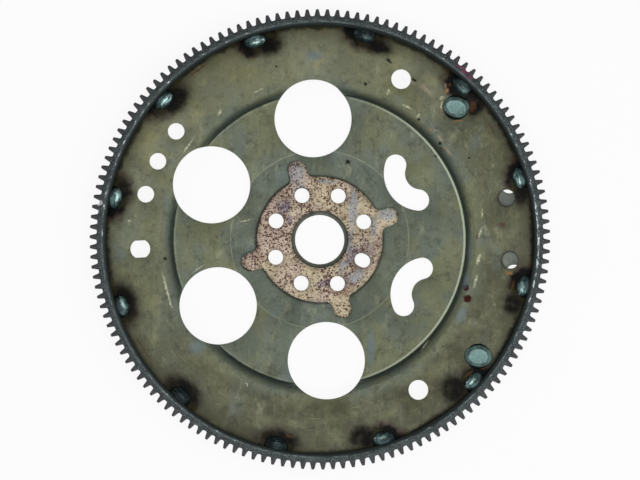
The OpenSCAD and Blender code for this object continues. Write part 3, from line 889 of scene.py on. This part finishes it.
# The floor is a wide white board under the disc, which keeps a faint shadow of it.
# The camera and every shiny surface see it nearly white.
FLOOR_HALF = 2.5
FLOOR_GAP = 0.2 * MM
SHADOW_SHARE = 0.1
board = bmesh.new()
bmesh.ops.create_grid(board, x_segments=1, y_segments=1, size=FLOOR_HALF)
bmesh.ops.translate(board, verts=board.verts, vec=(0.0, 0.0, cad_box[0][2] - FLOOR_GAP))
floor_mesh = bpy.data.meshes.new("floor")
board.to_mesh(floor_mesh)
board.free()
floor = bpy.data.objects.new("floor", floor_mesh)
bpy.context.collection.objects.link(floor)
paper = bpy.data.materials.new("white_board")
paper.use_nodes = True
paper_nodes, paper_links = paper.node_tree.nodes, paper.node_tree.links
paper_nodes.clear()
paper_out = paper_nodes.new("ShaderNodeOutputMaterial")
matte = paper_nodes.new("ShaderNodeBsdfDiffuse")
matte.inputs["Color"].default_value = 0.9, 0.9, 0.9, 1.0
glow = paper_nodes.new("ShaderNodeEmission")
glow.inputs["Strength"].default_value = 1.0
ray = paper_nodes.new("ShaderNodeLightPath")
seen = paper_nodes.new("ShaderNodeMath")
seen.operation = "MAXIMUM"
seen_through = paper_nodes.new("ShaderNodeMath")
seen_through.operation = "MAXIMUM"
white_share = paper_nodes.new("ShaderNodeMath")
white_share.operation = "MULTIPLY"
white_share.inputs[1].default_value = 1.0 - SHADOW_SHARE
paper_mix = paper_nodes.new("ShaderNodeMixShader")
paper_links.new(ray.outputs["Is Camera Ray"], seen.inputs[0])
paper_links.new(ray.outputs["Is Glossy Ray"], seen.inputs[1])
paper_links.new(seen.outputs[0], seen_through.inputs[0])
paper_links.new(ray.outputs["Is Transmission Ray"], seen_through.inputs[1])
paper_links.new(seen_through.outputs[0], white_share.inputs[0])
paper_links.new(white_share.outputs[0], paper_mix.inputs[0])
paper_links.new(matte.outputs[0], paper_mix.inputs[1])
paper_links.new(glow.outputs[0], paper_mix.inputs[2])
paper_links.new(paper_mix.outputs[0], paper_out.inputs["Surface"])
floor_mesh.materials.append(paper)


# The light is a wide soft lamp over the part and a smaller one on each side. The white room round
# them adds only a little, so flat faces look bright, and steep ones dark.
ROOM_GLOW = 0.28
room = bpy.data.worlds.new("white_room")
room.use_nodes = True
room_nodes, room_links = room.node_tree.nodes, room.node_tree.links
backdrop = room_nodes["Background"]
backdrop.inputs["Color"].default_value = 1.0, 1.0, 1.0, 1.0
room_ray = room_nodes.new("ShaderNodeLightPath")
room_light = room_nodes.new("ShaderNodeMapRange")
room_light.inputs["To Min"].default_value = ROOM_GLOW
room_light.inputs["To Max"].default_value = 1.0
room_links.new(room_ray.outputs["Is Camera Ray"], room_light.inputs["Value"])
room_links.new(room_light.outputs[0], backdrop.inputs["Strength"])
bpy.context.scene.world = room


def soft_lamp(name, place, width, power):
    """A square lamp that faces the middle of the part."""
    data = bpy.data.lights.new(name, "AREA")
    data.size = width
    data.energy = power
    lamp = bpy.data.objects.new(name, data)
    lamp.location = place
    lamp.rotation_euler = (-Vector(place)).to_track_quat("-Z", "Y").to_euler()
    bpy.context.collection.objects.link(lamp)


soft_lamp("overhead_lamp", (0.2, -0.3, 1.45), 1.4, 12.8)
soft_lamp("left_lamp", (-1.1, 0.2, 0.7), 0.5, 1.8)
soft_lamp("right_lamp", (1.1, 0.0, 0.7), 0.5, 2.5)


# The camera looks down from almost straight above, a little from the lower left.
# A long lens keeps the rim and the pan at nearly one scale, as the photograph does.
IMAGE_WIDTH = 640
VIEW_DISTANCE = 3.0
LEAN = Vector((-0.0265, -0.0302, 1.0)).normalized()
aim = Vector((-0.166, -0.676, RING_FRONT)) * MM
camera_data = bpy.data.cameras.new("camera")
camera_data.sensor_width = 36.0
camera_data.lens = camera_data.sensor_width * VIEW_DISTANCE / (IMAGE_WIDTH * PHOTO_SCALE * MM)
camera_data.clip_end = 20.0
camera = bpy.data.objects.new("camera", camera_data)
picture_up = Vector((-math.sin(PHOTO_ROLL), math.cos(PHOTO_ROLL), 0.0))
picture_right = picture_up.cross(LEAN).normalized()
picture_up = LEAN.cross(picture_right)
turned = Matrix((picture_right, picture_up, LEAN)).transposed().to_4x4()
camera.matrix_world = Matrix.Translation(aim + LEAN * VIEW_DISTANCE) @ turned
bpy.context.collection.objects.link(camera)
bpy.context.scene.camera = camera

bpy.context.scene.view_settings.view_transform = "Standard"
